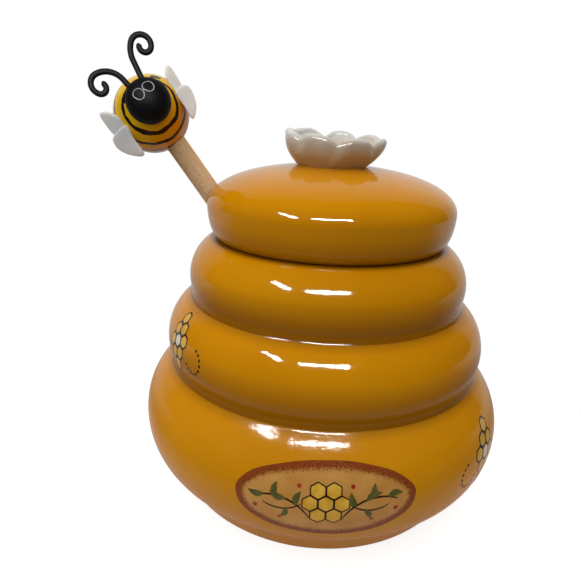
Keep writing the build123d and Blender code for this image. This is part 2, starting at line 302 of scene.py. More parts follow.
def dipper_wood():
    """Pale beech with grain along the stick and small darker flecks."""
    material, tree, shader, place = finish_material("dipper_wood")
    turn = {"Vector": place, "Rotation": (0.0, STICK_LEAN, 0.0)}
    upright = node(tree, "ShaderNodeMapping", turn).outputs[0]
    fibre_place = vector_calc(tree, "MULTIPLY", upright, (1.0, 1.0, 0.06))
    grain = noise(tree, fibre_place, 900.0, 5.0, 0.62, 0.4)
    broad = noise(tree, fibre_place, 190.0, 2.0)
    colour = ramp(
        tree,
        calc(tree, "MULTIPLY_ADD", broad, 0.5, calc(tree, "MULTIPLY", grain, 0.5)),
        [(0.3, paint(219, 178, 128)), (0.5, paint(231, 193, 144)), (0.72, paint(239, 206, 162))],
    )
    fleck_place = vector_calc(tree, "MULTIPLY", upright, (1.0, 1.0, 0.55))
    fleck = node(tree, "ShaderNodeTexVoronoi", {"Vector": fleck_place, "Scale": 1500.0}).outputs["Distance"]
    fleck = calc(tree, "MULTIPLY", calc(tree, "LESS_THAN", fleck, 0.24), 0.5)
    colour = mix_colour(tree, fleck, colour, paint(146, 98, 60))
    coat(tree, shader, colour, calc(tree, "MULTIPLY_ADD", grain, 0.2, 0.55), 0.12)
    bump(tree, shader, calc(tree, "SUBTRACT", grain, fleck), 0.06 * MM)
    return material


# painted stripes: distance forward of the bee's middle, slant, and width below and above
BEE_STRIPES = (
    (10.4, 0.03, 1.5, 0.6),
    (6.3, 0.1, 1.5, 0.9),
    (1.9, 0.1, 1.5, 1.2),
    (-3.2, 0.1, 1.5, 1.5),
    (-8.2, 0.1, 1.4, 1.4),
    (-12.6, 0.1, 1.0, 1.0),
)

# black smudges left on the body round the head: middle and reach
NECK_SMUDGES = ((-51.2, -6.4, 122.7, 1.5), (-53.4, -8.2, 121.8, 0.9), (-58.2, -11.9, 116.6, 1.25))


def bee_paint():
    """Glossy yellow enamel with painted shade, orange towards its lower right, and hand-painted dark stripes
    and smudges round the neck.
    """
    material, tree, shader, place = finish_material("bee_yellow_paint")
    from_centre = vector_calc(tree, "SUBTRACT", place, tuple(BEE_CENTRE * MM))
    forward, upward, aside = (
        vector_calc(tree, "DOT_PRODUCT", from_centre, tuple(axis), output=1)
        for axis in (BEE_FRONT, STICK_UP, BEE_RIGHT)
    )
    wander = calc(tree, "SUBTRACT", noise(tree, place, 190.0, 2.0), 0.5)
    ragged = calc(tree, "SUBTRACT", noise(tree, place, 900.0, 2.0), 0.5)
    line = calc(tree, "MULTIPLY_ADD", wander, 1.6 * MM, forward)
    line = calc(tree, "MULTIPLY_ADD", ragged, 0.3 * MM, line)
    height_share = calc(tree, "MULTIPLY_ADD", upward, 1 / (2 * BEE_RADIUS * MM), 0.5, clamp=True)
    painted = 0.0
    for front, slant, low_width, high_width in BEE_STRIPES:
        offset = calc(tree, "MULTIPLY_ADD", upward, slant, calc(tree, "SUBTRACT", line, front * MM))
        widening = (high_width - low_width) / 2 * MM
        half = calc(tree, "MULTIPLY_ADD", height_share, widening, low_width / 2 * MM)
        mask = rise(tree, half, calc(tree, "ABSOLUTE", offset), 0.14 * MM)
        painted = calc(tree, "MAXIMUM", painted, mask)
    for *middle, reach in NECK_SMUDGES:
        from_middle = vector_calc(tree, "SUBTRACT", place, tuple(v * MM for v in middle))
        away = vector_calc(tree, "LENGTH", from_middle, output=1)
        away = calc(tree, "MULTIPLY_ADD", wander, 1.2 * MM, away)
        away = calc(tree, "MULTIPLY_ADD", ragged, 1.8 * MM, away)
        painted = calc(tree, "MAXIMUM", painted, rise(tree, reach * MM, away, 0.15 * MM))
    cloud = noise(tree, place, 150.0, 3.0)
    yellow = ramp(tree, cloud, [(0.3, paint(247, 192, 6)), (0.7, paint(252, 206, 20))])
    # painted shade: the yellow turns orange towards the lower right, where the bee lies in shade
    low_right = calc(tree, "SUBTRACT", calc(tree, "MULTIPLY", aside, 0.6), upward)
    shade = calc(tree, "MULTIPLY", rise(tree, low_right, -1.0 * MM, 11.0 * MM), 0.9)
    colour = mix_colour(tree, shade, yellow, paint(224, 138, 8))
    dark = ramp(tree, cloud, [(0.3, paint(30, 16, 6)), (0.7, paint(54, 30, 12))])
    colour = mix_colour(tree, painted, colour, dark)
    coat(tree, shader, colour, calc(tree, "MULTIPLY_ADD", cloud, 0.12, 0.1), 0.14)
    height = calc(tree, "MULTIPLY_ADD", painted, 0.35, noise(tree, place, 260.0, 2.0))
    bump(tree, shader, height, 0.12 * MM)
    return material


def black_paint(name, shine, grain):
    """Black enamel, brushed thinly enough to keep faint marks."""
    material, tree, shader, place = finish_material(name)
    cloud = noise(tree, place, 160.0, 4.0)
    colour = ramp(tree, cloud, [(0.3, paint(11, 10, 12)), (0.7, paint(19, 17, 19))])
    coat(tree, shader, colour, calc(tree, "MULTIPLY_ADD", cloud, 0.15, 0.5), shine)
    bump(tree, shader, noise(tree, place, 500.0, 2.0), grain * MM)
    return material


def wing_resin(name, low, high):
    """Milky white resin that lets a little light through."""
    material, tree, shader, place = finish_material(name)
    cloud = noise(tree, place, 260.0, 3.0)
    colour = ramp(tree, cloud, [(0.3, low), (0.7, high)])
    coat(tree, shader, colour, calc(tree, "MULTIPLY_ADD", cloud, 0.15, 0.35), 0.18)
    shader.inputs["Subsurface Weight"].default_value = 0.8
    shader.inputs["Subsurface Radius"].default_value = (1.0, 0.95, 0.9)
    shader.inputs["Subsurface Scale"].default_value = 2.0 * MM
    bump(tree, shader, noise(tree, place, 420.0, 2.0), 0.05 * MM)
    return material


def ink(name, low, high, scale=400.0):
    """Painted decoration under the glaze, uneven as a brush leaves it."""
    material, tree, shader, place = finish_material(name)
    cloud = noise(tree, place, scale, 3.0)
    colour = ramp(tree, cloud, [(0.35, low), (0.68, high)])
    coat(tree, shader, colour, calc(tree, "MULTIPLY_ADD", cloud, 0.1, 0.1), 0.32)
    bump(tree, shader, cloud, 0.02 * MM)
    return material


def label_field():
    """Tan oval with a rust border, crisp outside and stippled away inwards."""
    material, tree, shader, place = finish_material("label_tan_and_rust")
    inset = node(tree, "ShaderNodeAttribute", attribute_name="inset", attribute_type="GEOMETRY")
    stipple = noise(tree, place, 2600.0, 2.0)
    cloud = noise(tree, place, 180.0, 4.0)
    field = ramp(tree, cloud, [(0.3, paint(194, 134, 60)), (0.7, paint(208, 152, 80))])
    border = ramp(tree, stipple, [(0.35, paint(122, 52, 12)), (0.7, paint(154, 78, 32))])
    fade = calc(tree, "MULTIPLY_ADD", rise(tree, inset.outputs["Fac"], 0.9, 2.4), 2.0, -0.5)
    grainy = calc(tree, "MULTIPLY_ADD", calc(tree, "SUBTRACT", stipple, 0.5), 2.2, fade, clamp=True)
    colour = mix_colour(tree, grainy, border, field)
    coat(tree, shader, colour, calc(tree, "MULTIPLY_ADD", cloud, 0.1, 0.1), 0.32)
    bump(tree, shader, cloud, 0.02 * MM)
    return material


# ---------------------------------------------------------------------------
# Geometry node trees
# ---------------------------------------------------------------------------
def node_tree(name, sockets):
    """A geometry tree with named inputs; returns the tree, its input node and its output node."""
    tree = bpy.data.node_groups.new(name, "GeometryNodeTree")
    tree.interface.new_socket("Geometry", in_out="INPUT", socket_type="NodeSocketGeometry")
    for socket_name, kind, value in sockets:
        socket = tree.interface.new_socket(socket_name, in_out="INPUT", socket_type=f"NodeSocket{kind}")
        if value is not None:
            socket.default_value = value
    tree.interface.new_socket("Geometry", in_out="OUTPUT", socket_type="NodeSocketGeometry")
    return tree, tree.nodes.new("NodeGroupInput"), tree.nodes.new("NodeGroupOutput")


def finish_tree(tree, geometry, entry, leave):
    """Close every tree the same way: real geometry, smooth, in its material."""
    real = node(tree, "GeometryNodeRealizeInstances", {0: geometry}).outputs[0]
    smooth = node(tree, "GeometryNodeSetShadeSmooth", {"Geometry": real}).outputs[0]
    finish = {"Geometry": smooth, "Material": entry.outputs["Material"]}
    coated = node(tree, "GeometryNodeSetMaterial", finish).outputs[0]
    tree.links.new(coated, leave.inputs[0])
    return tree


def turned_ware_tree():
    """Turn a line of profile points, which lie in the XZ plane, round the Z axis."""
    tree, entry, leave = node_tree(
        "turned_ware",
        [
            ("Sides", "Int", 128),
            ("Unevenness", "Float", 0.0),
            ("Unevenness Scale", "Float", 30.0),
            ("Seed", "Float", 0.0),
            ("Material", "Material", None),
        ],
    )
    profile, sides = entry.outputs["Geometry"], entry.outputs["Sides"]
    rows = node(tree, "GeometryNodeAttributeDomainSize", {"Geometry": profile}).outputs["Point Count"]
    columns = calc(tree, "ADD", sides, 1.0)
    grid = node(tree, "GeometryNodeMeshGrid", {"Vertices X": rows, "Vertices Y": columns}).outputs["Mesh"]
    index = node(tree, "GeometryNodeInputIndex").outputs[0]
    row = calc(tree, "FLOOR", calc(tree, "DIVIDE", calc(tree, "ADD", index, 0.5), columns))
    column = calc(tree, "SUBTRACT", index, calc(tree, "MULTIPLY", row, columns))
    position = node(tree, "GeometryNodeInputPosition").outputs[0]
    point = node(
        tree,
        "GeometryNodeSampleIndex",
        {"Geometry": profile, "Value": position, "Index": row},
        data_type="FLOAT_VECTOR",
        domain="POINT",
    ).outputs["Value"]
    angle = calc(tree, "MULTIPLY", calc(tree, "DIVIDE", column, sides), 2 * pi)
    about_z = {"Vector": point, "Axis": (0.0, 0.0, 1.0), "Angle": angle}
    turned_point = node(tree, "ShaderNodeVectorRotate", about_z).outputs[0]
    rough_inputs = {
        "Vector": turned_point,
        "W": entry.outputs["Seed"],
        "Scale": entry.outputs["Unevenness Scale"],
        "Detail": 1.0,
    }
    rough = node(tree, "ShaderNodeTexNoise", rough_inputs, noise_dimensions="4D").outputs[0]
    swell = calc(tree, "MULTIPLY", calc(tree, "SUBTRACT", rough, 0.5), entry.outputs["Unevenness"])
    outward = vector_calc(tree, "NORMALIZE", vector_calc(tree, "MULTIPLY", turned_point, (1.0, 1.0, 0.0)))
    bulging = node(tree, "ShaderNodeVectorMath", {0: outward, 3: swell}, operation="SCALE").outputs[0]
    uneven = vector_calc(tree, "ADD", turned_point, bulging)
    shaped = node(tree, "GeometryNodeSetPosition", {"Geometry": grid, "Position": uneven}).outputs[0]
    closed = node(tree, "GeometryNodeMergeByDistance", {"Geometry": shaped, "Distance": 2e-6}).outputs[0]
    return finish_tree(tree, closed, entry, leave)


def bent_wire_tree():
    """Round wire along a line of points, with rounded ends where the line is open."""
    tree, entry, leave = node_tree(
        "bent_wire",
        [
            ("Wire Radius", "Float", 0.0007),
            ("Sides", "Int", 20),
            ("Round Ends", "Float", 1.0),
            ("Material", "Material", None),
        ],
    )
    radius = entry.outputs["Wire Radius"]
    route = node(tree, "GeometryNodeMeshToCurve", {"Mesh": entry.outputs["Geometry"]}).outputs[0]
    along = node(tree, "GeometryNodeSplineParameter").outputs["Length"]
    total = node(tree, "GeometryNodeSplineLength").outputs["Length"]
    to_end = calc(tree, "MINIMUM", along, calc(tree, "SUBTRACT", total, along))
    short = calc(tree, "SUBTRACT", 1.0, calc(tree, "DIVIDE", to_end, radius), clamp=True)
    roundness = calc(tree, "SQRT", calc(tree, "SUBTRACT", 1.0, calc(tree, "MULTIPLY", short, short)))
    roundness = calc(tree, "MAXIMUM", roundness, 0.02)
    plain = calc(tree, "SUBTRACT", 1.0, entry.outputs["Round Ends"])
    tube_inputs = {
        "Curve": route,
        "Profile Curve": node(
            tree, "GeometryNodeCurvePrimitiveCircle", {"Resolution": entry.outputs["Sides"], "Radius": radius}
        ).outputs["Curve"],
        "Scale": calc(tree, "MAXIMUM", roundness, plain),
        "Fill Caps": True,
    }
    tube = node(tree, "GeometryNodeCurveToMesh", tube_inputs).outputs[0]
    return finish_tree(tree, tube, entry, leave)


def honeycomb_tree():
    """Flat cluster of rounded comb cells, kept inside an oval."""
    tree, entry, leave = node_tree(
        "honeycomb",
        [
            ("Cell Radius", "Float", 0.0019),
            ("Spacing", "Float", 0.0036),
            ("Columns", "Int", 5),
            ("Rows", "Int", 5),
            ("Half Width", "Float", 0.006),
            ("Half Height", "Float", 0.006),
            ("Material", "Material", None),
        ],
    )
    spacing, columns, rows = (entry.outputs[name] for name in ("Spacing", "Columns", "Rows"))
    row_step = calc(tree, "MULTIPLY", spacing, sqrt(3) / 2)
    grid_inputs = {
        "Size X": calc(tree, "MULTIPLY", spacing, calc(tree, "SUBTRACT", columns, 1.0)),
        "Size Y": calc(tree, "MULTIPLY", row_step, calc(tree, "SUBTRACT", rows, 1.0)),
        "Vertices X": columns,
        "Vertices Y": rows,
    }
    grid = node(tree, "GeometryNodeMeshGrid", grid_inputs).outputs["Mesh"]
    position = node(tree, "GeometryNodeInputPosition").outputs[0]
    place = node(tree, "ShaderNodeSeparateXYZ", {0: position}).outputs
    row = calc(tree, "ROUND", calc(tree, "DIVIDE", place["Y"], row_step))
    odd = calc(tree, "ABSOLUTE", calc(tree, "MODULO", row, 2.0))
    half_step = calc(tree, "MULTIPLY", odd, calc(tree, "MULTIPLY", spacing, 0.5))
    shift = node(tree, "ShaderNodeCombineXYZ", {"X": half_step}).outputs[0]
    staggered = node(tree, "GeometryNodeSetPosition", {"Geometry": grid, "Offset": shift}).outputs[0]
    across = calc(tree, "DIVIDE", place["X"], entry.outputs["Half Width"])
    upward = calc(tree, "DIVIDE", place["Y"], entry.outputs["Half Height"])
    reach = calc(tree, "ADD", calc(tree, "MULTIPLY", across, across), calc(tree, "MULTIPLY", upward, upward))
    outside = {"Geometry": staggered, "Selection": calc(tree, "GREATER_THAN", reach, 1.0)}
    kept = node(tree, "GeometryNodeDeleteGeometry", outside, domain="POINT").outputs[0]
    cell_radius = entry.outputs["Cell Radius"]
    hexagon_inputs = {"Resolution": 6, "Radius": cell_radius}
    hexagon = node(tree, "GeometryNodeCurvePrimitiveCircle", hexagon_inputs).outputs["Curve"]
    point_up = {"Geometry": hexagon, "Rotation": (0.0, 0.0, pi / 6)}
    upright = node(tree, "GeometryNodeTransform", point_up).outputs[0]
    fillet = {"Curve": upright, "Count": 3, "Radius": calc(tree, "MULTIPLY", cell_radius, 0.22)}
    softened = node(tree, "GeometryNodeFilletCurve", fillet, mode="POLY").outputs[0]
    cell = node(tree, "GeometryNodeFillCurve", {"Curve": softened}, mode="TRIANGLES").outputs[0]
    cell = node(tree, "GeometryNodeSubdivideMesh", {"Mesh": cell, "Level": 2}).outputs[0]
    cells = node(tree, "GeometryNodeInstanceOnPoints", {"Points": kept, "Instance": cell}).outputs[0]
    return finish_tree(tree, cells, entry, leave)


def placed(name, data):
    """New object in the scene."""
    made = bpy.data.objects.new(name, data)
    bpy.context.scene.collection.objects.link(made)
    return made


def settled(carrier):
    """Plain mesh of a carrier with its modifiers worked in, the carrier itself removed."""
    bpy.context.view_layer.update()
    depsgraph = bpy.context.evaluated_depsgraph_get()
    made = bpy.data.meshes.new_from_object(carrier.evaluated_get(depsgraph), depsgraph=depsgraph)
    bpy.data.objects.remove(carrier)
    return made


def grow(tree, source, values):
    """Plain mesh that a tree makes from a source mesh with the given inputs."""
    carrier = placed("carrier", source)
    modifier = carrier.modifiers.new(tree.name, "NODES")
    modifier.node_group = tree
    for item in tree.interface.items_tree:
        if item.item_type == "SOCKET" and item.in_out == "INPUT" and item.name in values:
            modifier[item.identifier] = values[item.name]
    made = settled(carrier)
    made.materials.clear()
    made.materials.append(values["Material"])
    made.polygons.foreach_set("material_index", [0] * len(made.polygons))
    return made


# ---------------------------------------------------------------------------
# Mesh helpers
# ---------------------------------------------------------------------------
def mesh_of(name, points, faces=(), edges=()):
    """Mesh from points in metres."""
    made = bpy.data.meshes.new(name)
    made.from_pydata([tuple(p) for p in points], [tuple(e) for e in edges], [tuple(f) for f in faces])
    made.update()
    return made


def line_mesh(points, closed=False):
    """Mesh of one line through points given in millimetres."""
    count = len(points)
    edges = [(i, (i + 1) % count) for i in range(count if closed else count - 1)]
    return mesh_of("line", [Vector(p) * MM for p in points], edges=edges)


def band(lower, upper, count):
    """Faces between two closed rings of points, each given by the number of its first point."""
    following = [(i + 1) % count for i in range(count)]
    return [(lower + i, upper + i, upper + j, lower + j) for i, j in enumerate(following)]


def cleaned(mesh):
    """Merge doubles and point every face outwards."""
    work = bmesh.new()
    work.from_mesh(mesh)
    bmesh.ops.remove_doubles(work, verts=work.verts, dist=2e-6)
    bmesh.ops.dissolve_degenerate(work, edges=work.edges, dist=1e-7)
    bmesh.ops.recalc_face_normals(work, faces=work.faces)
    work.to_mesh(mesh)
    work.free()
    mesh.update()
    return mesh


def piece(name, mesh, body, replaced=(), material=None, crease=None):
    """Put a finished mesh into the scene as a named piece on its body.

    Its shading is smooth, save at edges sharper than the crease angle in degrees.
    """
    made = placed(name, mesh)
    if material is not None:
        mesh.materials.clear()
        mesh.materials.append(material)
    mesh.polygons.foreach_set("use_smooth", [True] * len(mesh.polygons))
    if crease is not None:
        mesh.set_sharp_from_angle(angle=radians(crease))
    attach(made, body)
    if replaced:
        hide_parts(*replaced)


def arc_points(centre, radius, start, end, step=0.35):
    """Points round an arc in the XZ plane, angles in radians."""
    count = max(2, int(abs(end - start) * radius / step) + 1)
    angles = np.linspace(start, end, count)
    return [(centre[0] + radius * cos(a), centre[1] + radius * sin(a)) for a in angles]


def bezier_points(p0, p1, p2, p3):
    """Points along one cubic curve."""
    t = np.linspace(0, 1, 60)[:, None]
    p0, p1, p2, p3 = (np.array(p, float) for p in (p0, p1, p2, p3))
    curve = (1 - t) ** 3 * p0 + 3 * (1 - t) ** 2 * t * p1 + 3 * (1 - t) * t**2 * p2 + t**3 * p3
    return [tuple(p) for p in curve]


def glaze_profile(points, softness, tolerance=0.006, longest=2.2):
    """Round a profile's corners as glaze does, then keep only the points that its curve needs."""
    points = np.array(points, float)
    steps = np.r_[0, np.cumsum(np.hypot(*np.diff(points, axis=0).T))]
    keep = np.r_[True, np.diff(steps) > 1e-9]
    points, steps = points[keep], steps[keep]
    fine = 0.08
    count = int(steps[-1] / fine) + 1
    even = np.linspace(0, steps[-1], count)
    dense = np.stack([np.interp(even, steps, points[:, k]) for k in (0, 1)], 1)
    reach = int(4 * softness / fine) + 1
    weights = np.exp(-0.5 * (np.arange(-reach, reach + 1) * fine / softness) ** 2)
    weights /= weights.sum()
    # past either end the profile goes on mirrored in the axis
    mirrored = dense * (-1, 1)
    padded = np.vstack([mirrored[reach:0:-1], dense, mirrored[-2 : -reach - 2 : -1]])
    smooth = np.stack([np.convolve(padded[:, k], weights, "valid") for k in (0, 1)], 1)
    smooth[0, 0] = smooth[-1, 0] = 0.0
    chosen = [0]
    while chosen[-1] < len(smooth) - 1:
        start = chosen[-1]
        stop = start + 1
        while stop < len(smooth) - 1 and (stop - start) * fine < longest:
            chord = smooth[stop + 1] - smooth[start]
            between = smooth[start + 1 : stop + 1] - smooth[start]
            sag = np.abs(between[:, 0] * chord[1] - between[:, 1] * chord[0]) / np.hypot(*chord)
            if sag.max() > tolerance:
                break
            stop += 1
        chosen.append(stop)
    return smooth[chosen]


def turned(profile, sides, material, unevenness, seed, scale=22.0):
    """Mesh turned from a profile of (radius, height) points in millimetres."""
    values = {
        "Sides": sides,
        "Unevenness": unevenness * MM,
        "Unevenness Scale": scale,
        "Seed": seed,
        "Material": material,
    }
    return grow(turned_ware, line_mesh([(r, 0.0, z) for r, z in profile]), values)


def frame_matrix(origin, x_axis, y_axis, z_axis):
    """Placement of a local frame, its origin in millimetres."""
    turn = Matrix((x_axis, y_axis, z_axis)).transposed().to_4x4()
    return Matrix.Translation(origin * MM) @ turn


# ---------------------------------------------------------------------------
# Pot
# ---------------------------------------------------------------------------
def bulge_radius(bulge, height):
    """Radius of a bulge's surface at a height."""
    return bulge[0] - bulge[1] + sqrt(bulge[1] ** 2 - (height - bulge[2]) ** 2)


def heading(origin, target):
    """Angle in radians at which a target lies from an origin, in the plane of the profiles."""
    return atan2(target[1] - origin[1], target[0] - origin[0])


def groove_centre(lower, upper):
    """Centre of the small circle that rounds the groove between two bulges."""
    a = np.array([lower[0] - lower[1], lower[2]])
    b = np.array([upper[0] - upper[1], upper[2]])
    reach_a, reach_b = lower[1] + GROOVE_FILLET, upper[1] + GROOVE_FILLET
    between = b - a
    distance = np.hypot(*between)
    along = (distance**2 + reach_a**2 - reach_b**2) / (2 * distance)
    aside = sqrt(reach_a**2 - along**2)
    unit = between / distance
    return a + unit * along + np.array([unit[1], -unit[0]]) * aside


def bulge_wall(inset):
    """Profile up the pot's side from foot to rim, drawn inwards by inset."""
    bulges = (BELLY, MIDDLE, UPPER)
    centres = [(width - arc, level) for width, arc, level in bulges]
    grooves = [groove_centre(lower, upper) for lower, upper in zip(bulges, bulges[1:])]
    start = heading(centres[0], (bulge_radius(BELLY, FOOT_HEIGHT), FOOT_HEIGHT))
    points = []
    for number, stop in enumerate([*grooves, (RIM_RADIUS, RIM_HEIGHT)]):
        centre = centres[number]
        points += arc_points(centre, bulges[number][1] - inset, start, heading(centre, stop))
        if number < len(grooves):
            facing, leaving = (heading(stop, c) % (2 * pi) for c in centres[number : number + 2])
            points += arc_points(stop, GROOVE_FILLET + inset, facing, leaving, 0.2)
            start = leaving - pi
    return points


def pot_profile():
    """From the centre of the floor inside, up the inner wall, over the rim and down to the underside."""
    ceiling = RIM_HEIGHT - POT_WALL
    inner = [
        (r, max(z, POT_WALL))
        for r, z in bulge_wall(POT_WALL)
        if z < ceiling and (r > MOUTH_RADIUS or z < UPPER[2])
    ]
    inside = [(0.0, POT_WALL), (inner[0][0] - 2.0, POT_WALL), *inner]
    throat = [(MOUTH_RADIUS, ceiling), (MOUTH_RADIUS, RIM_HEIGHT - 0.2)]
    top = [(MOUTH_RADIUS + 0.3, RIM_HEIGHT), (RIM_RADIUS - 0.4, RIM_HEIGHT)]
    outside = bulge_wall(0.0)[::-1]
    foot = [
        (FOOT_RADIUS + 0.05, 0.8),
        (FOOT_RADIUS - 0.8, 0.0),
        (FOOT_RADIUS - FOOT_RING, 0.0),
        (FOOT_RADIUS - FOOT_RING, FOOT_RECESS),
        (0.0, FOOT_RECESS),
    ]
    return inside + throat + top + outside + foot


# ---------------------------------------------------------------------------
# Lid
# ---------------------------------------------------------------------------
def dome_curve(radius, height):
    """Dome from its widest point, level with the lid's, up to its crown."""
    return bezier_points(
        (radius, LID_WIDE_HEIGHT),
        (radius, LID_WIDE_HEIGHT + 0.55 * height),
        (0.65 * radius, LID_WIDE_HEIGHT + height),
        (0.0, LID_WIDE_HEIGHT + height),
    )


def lid_profile():
    """From the vault's crown inside, down to the flange, out over the seat and up to the crown."""
    dome_height = LID_TOP - LID_WIDE_HEIGHT
    vault = dome_curve(LID_RADIUS - LID_WALL, dome_height - LID_WALL)[::-1]
    low = RIM_HEIGHT - FLANGE_DEPTH
    bevel = 0.5
    flange = [
        (FLANGE_BORE, RIM_HEIGHT + LID_WALL),
        (FLANGE_BORE, low + bevel),
        (FLANGE_BORE + bevel, low),
        (FLANGE_RADIUS - bevel, low),
        (FLANGE_RADIUS, low + bevel),
        (FLANGE_RADIUS, RIM_HEIGHT),
        (LID_SEAT, RIM_HEIGHT),
    ]
    wide, tall = LID_RADIUS - LID_SEAT, LID_WIDE_HEIGHT - RIM_HEIGHT
    tuck = [
        (LID_SEAT + wide * cos(a), LID_WIDE_HEIGHT + tall * sin(a)) for a in np.linspace(-pi / 2, 0, 40)
    ]
    return vault + flange + tuck + dome_curve(LID_RADIUS, dome_height)


def cut_notch(lid):
    """Cut the slanted slot that the dipper's stick stands in."""
    radius = STICK_RADIUS + NOTCH_GAP
    far = 45.0  # well outside the lid on every side
    through = DIPPER_END + STICK_UP * ((RIM_HEIGHT - DIPPER_END.z) / STICK_UP.z)
    outline = [(radius * cos(a), radius * sin(a)) for a in np.linspace(-pi / 2, pi / 2, 33)]
    outline += [(-far, radius), (-far, -radius)]
    ends = []
    for along in (-far, far):
        ends += [(through + STICK_ACROSS * x + Vector((0, y, 0)) + STICK_UP * along) * MM for x, y in outline]
    count = len(outline)
    faces = [tuple(range(count - 1, -1, -1)), tuple(range(count, 2 * count))]
    faces += [(i, (i + 1) % count, count + (i + 1) % count, count + i) for i in range(count)]
    cutter = placed("notch_cutter", mesh_of("notch_cutter", ends, faces))
    carrier = placed("lid_blank", lid)
    cut = carrier.modifiers.new("notch", "BOOLEAN")
    cut.object = cutter
    cut.operation = "DIFFERENCE"
    cut.solver = "EXACT"
    made = settled(carrier)
    bpy.data.objects.remove(cutter)
    return made


# ---------------------------------------------------------------------------
# Flower knob
# ---------------------------------------------------------------------------
# petals from the front-right one round by the back: where each starts, in degrees from the front,
# how deep the notch before it is, its own height above the rest and its own reach
PETALS = (
    (0.0, 1.9, -0.5, 0.1),
    (52.0, 2.1, -0.75, 0.3),
    (98.0, 0.9, -0.7, -0.1),
    (146.0, 1.9, -0.5, 0.2),
    (193.5, 2.3, -0.1, 0.0),
    (248.5, 0.6, 0.15, 0.3),
    (310.0, 1.9, -0.1, 0.0),
)


def eased(value, low, high):
    """0 below low, 1 above high, smooth between."""
    share = min(1.0, max(0.0, (value - low) / (high - low)))
    return share * share * (3 - 2 * share)


def petal_shape(turn):
    """The rim at an angle from the front: its height, its reach and how far a notch pinches it in."""
    number = max(k for k in range(len(PETALS)) if PETALS[k][0] <= turn)
    start, _, own_rise, own_spread = PETALS[number]
    after = (number + 1) % len(PETALS)
    end = PETALS[after][0] or 360.0
    inside = (turn - start) / (end - start)
    nearest, neighbour = (after, after) if inside > 0.5 else (number, number - 1)
    depth = PETALS[nearest][1]
    crown = max(0.0, sin(pi * inside))
    own = 0.5 + 0.5 * crown**0.8
    rise = own * own_rise + (1 - own) * PETALS[neighbour][2]
    spread = own * own_spread + (1 - own) * PETALS[neighbour][3]
    gap = min(turn - start, end - turn)
    pinch = depth / 2.0 * np.exp(-((gap / 10.0) ** 2))
    return FLOWER_HEIGHT + rise - depth * (1 - crown) ** 1.2, FLOWER_REACH + spread, pinch


def flower_section(t, height, reach, pinch):
    """Radius, level and sideways shift at a share t of the way up the outside and in to the floor."""
    narrowed = 1.3 * pinch
    if t < 0.1:
        return FLOWER_BASE * t / 0.1, 0.0, -1.0
    if t < 0.5:
        s = (t - 0.1) / 0.4
        flare = (reach - FLOWER_BASE) * (1 - (1 - s) ** 2)
        return FLOWER_BASE + flare - narrowed * eased(s, 0.3, 1.0), (height - FLOWER_LIP) * s, s - 1
    if t < 0.7:
        s = (t - 0.5) / 0.2
        r = reach - narrowed - FLOWER_LIP + FLOWER_LIP * cos(pi * s)
        return r, height - FLOWER_LIP + FLOWER_LIP * sin(pi * s), 0.0
    s = min(1.0, (t - 0.7) / 0.3)
    z = height - FLOWER_LIP + (FLOWER_FLOOR - height + FLOWER_LIP) * (1 - (1 - s) ** 2.4)
    z += 0.7 * pinch * sin(pi * s) * (1 - s)
    return (reach - narrowed - 2 * FLOWER_LIP) * (1 - s), z, 0.0


def flower_mesh():
    """Thick cup pressed into seven rounded petals, its foot a little to the left."""
    sides, rows = 336, 84
    shapes = [petal_shape(360.0 * side / sides) for side in range(sides)]
    points, faces = [], []
    for row in range(rows + 1):
        for side, shape in enumerate(shapes):
            angle = radians(360.0 * side / sides) - pi / 2
            r, z, shift = flower_section(row / rows, *shape)
            lump = mathutils_noise.noise(Vector((r * cos(angle), r * sin(angle), z)) * 0.22)
            r += 0.35 * lump * min(1.0, r / 5.0)
            z += 0.25 * lump if z > 1.0 else 0.0
            points.append((r * cos(angle) + shift, r * sin(angle), z))
    for row in range(rows):
        faces += band(row * sides, (row + 1) * sides, sides)
    lean = Matrix.Rotation(radians(3.5), 4, "X") @ Matrix.Rotation(radians(1.7), 4, "Y")
    foot = Matrix.Translation(Vector((0, 0, LID_TOP - FLOWER_SINK)) * MM)
    made = mesh_of("flower", points, faces)
    made.transform(foot @ lean @ Matrix.Scale(MM, 4))
    return cleaned(made)


# ---------------------------------------------------------------------------
# Bee
# ---------------------------------------------------------------------------
# of each antenna: side, bearing of its stem in degrees, length of the stem,
# and the bends of its curl as (radius, degrees)
ANTENNAE = {
    "left": (-1, 97.5, 3.8, ((5.3, 80.0), (2.7, 130.0), (1.45, 188.0))),
    "right": (1, 79.5, 6.3, ((6.9, 41.0), (2.55, 182.0), (1.5, 187.0))),
}
ANTENNA_RADIUS = 0.77

# middle of each painted eye ring on the head, in degrees across and up
EYES = {"left": (-14.9, 15.0), "right": (15.8, 18.4)}
EYE_RING = 1.38
EYE_LINE = 0.13

# wing outlines as (distance back from the root, height above it)
WINGS = {
    "upper_left": [(-0.8, 0.0), (1.0, 3.7), (3.8, 6.8), (6.8, 7.9), (7.6, 5.8), (7.1, 0.9), (3.0, -0.6)],
    "lower_left": [(-0.8, 0.2), (4.4, 0.9), (8.2, 0.4), (8.8, -2.6), (5.5, -6.3), (0.5, -8.7), (0.0, -3.9)],
    "upper_right": [(-0.8, 0.0), (0.6, 3.6), (2.2, 6.6), (5.7, 8.6), (6.7, 6.6), (5.7, 1.8), (3.0, -0.2)],
    "lower_right": [
        (-0.8, 0.3), (3.8, 1.6), (7.8, 1.2), (7.5, -1.9), (4.6, -5.4), (-1.3, -8.2), (-1.2, -4.0)
    ],
}

# how far each wing stands forward, in halves of a wing's thickness
WING_LEVELS = {"upper": -0.4, "lower": 1.0}


